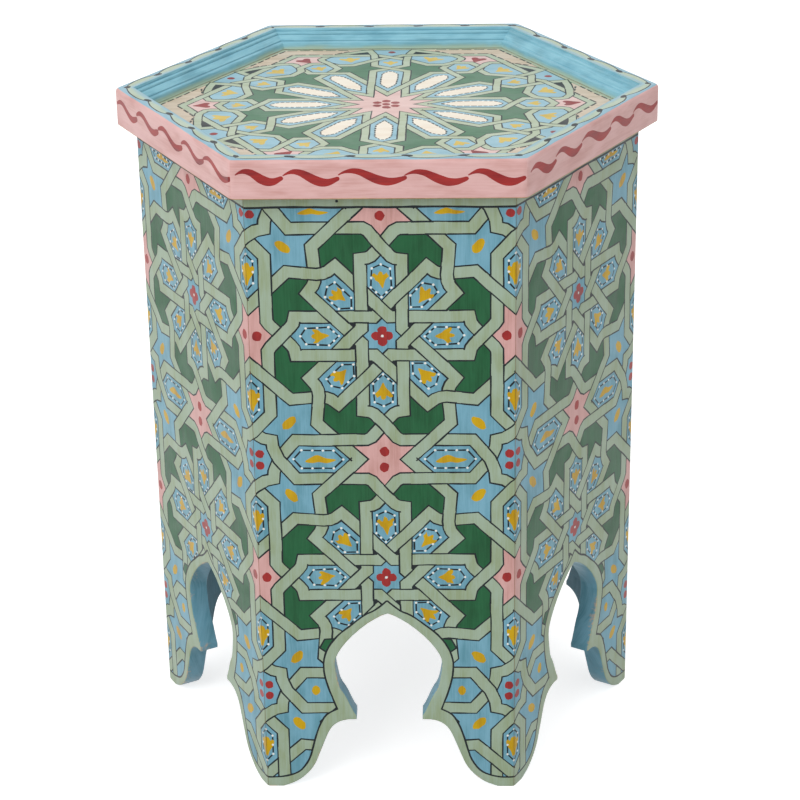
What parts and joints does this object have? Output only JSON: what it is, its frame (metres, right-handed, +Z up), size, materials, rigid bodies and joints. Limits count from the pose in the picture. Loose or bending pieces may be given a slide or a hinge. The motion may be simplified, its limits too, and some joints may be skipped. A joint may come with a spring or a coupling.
{
  "type": "stool",
  "caption": "Hexagonal painted wooden stool with a recessed tray top in a mitred moulding frame and side panels sawn into arched feet.",
  "frame": {"origin": "on the floor under the middle of the stool", "axes": "+Z up, -Y out of the side that faces the viewer in the picture, +X to the viewer's right through a corner"},
  "size_m": [0.3998, 0.3464, 0.5],
  "materials": {
    "panel_paint": "hand painted star and strap pattern in greens, blue, pink and yellow over wood, satin",
    "tray_paint": "hand painted twelve-fold star pattern over wood, satin",
    "rim_paint": "hand painted pink outside and blue inside over wood, satin, worn at the corners",
    "bare_wood": "sawn softwood, unpainted",
    "steel": "plain steel wire nails and screws"
  },
  "bodies": {
    "root": {"top_board": "tray_paint", "side_panel_1": "panel_paint", "rim_moulding_1": "rim_paint", "top_cleat_1": "bare_wood", "corner_block_1": "bare_wood", "cleat_screw_1": "steel", "panel_nail_1_1": "steel", "panel_nail_1_2": "steel", "rim_nail_1_1": "steel", "rim_nail_1_2": "steel", "side_panel_2": "panel_paint", "rim_moulding_2": "rim_paint", "top_cleat_2": "bare_wood", "corner_block_2": "bare_wood", "cleat_screw_2": "steel", "panel_nail_2_1": "steel", "panel_nail_2_2": "steel", "rim_nail_2_1": "steel", "rim_nail_2_2": "steel", "side_panel_3": "panel_paint", "rim_moulding_3": "rim_paint", "top_cleat_3": "bare_wood", "corner_block_3": "bare_wood", "cleat_screw_3": "steel", "panel_nail_3_1": "steel", "panel_nail_3_2": "steel", "rim_nail_3_1": "steel", "rim_nail_3_2": "steel", "side_panel_4": "panel_paint", "rim_moulding_4": "rim_paint", "top_cleat_4": "bare_wood", "corner_block_4": "bare_wood", "cleat_screw_4": "steel", "panel_nail_4_1": "steel", "panel_nail_4_2": "steel", "rim_nail_4_1": "steel", "rim_nail_4_2": "steel", "side_panel_5": "panel_paint", "rim_moulding_5": "rim_paint", "top_cleat_5": "bare_wood", "corner_block_5": "bare_wood", "cleat_screw_5": "steel", "panel_nail_5_1": "steel", "panel_nail_5_2": "steel", "rim_nail_5_1": "steel", "rim_nail_5_2": "steel", "side_panel_6": "panel_paint", "rim_moulding_6": "rim_paint", "top_cleat_6": "bare_wood", "corner_block_6": "bare_wood", "cleat_screw_6": "steel", "panel_nail_6_1": "steel", "panel_nail_6_2": "steel", "rim_nail_6_1": "steel", "rim_nail_6_2": "steel"}
  },
  "joints": []
}
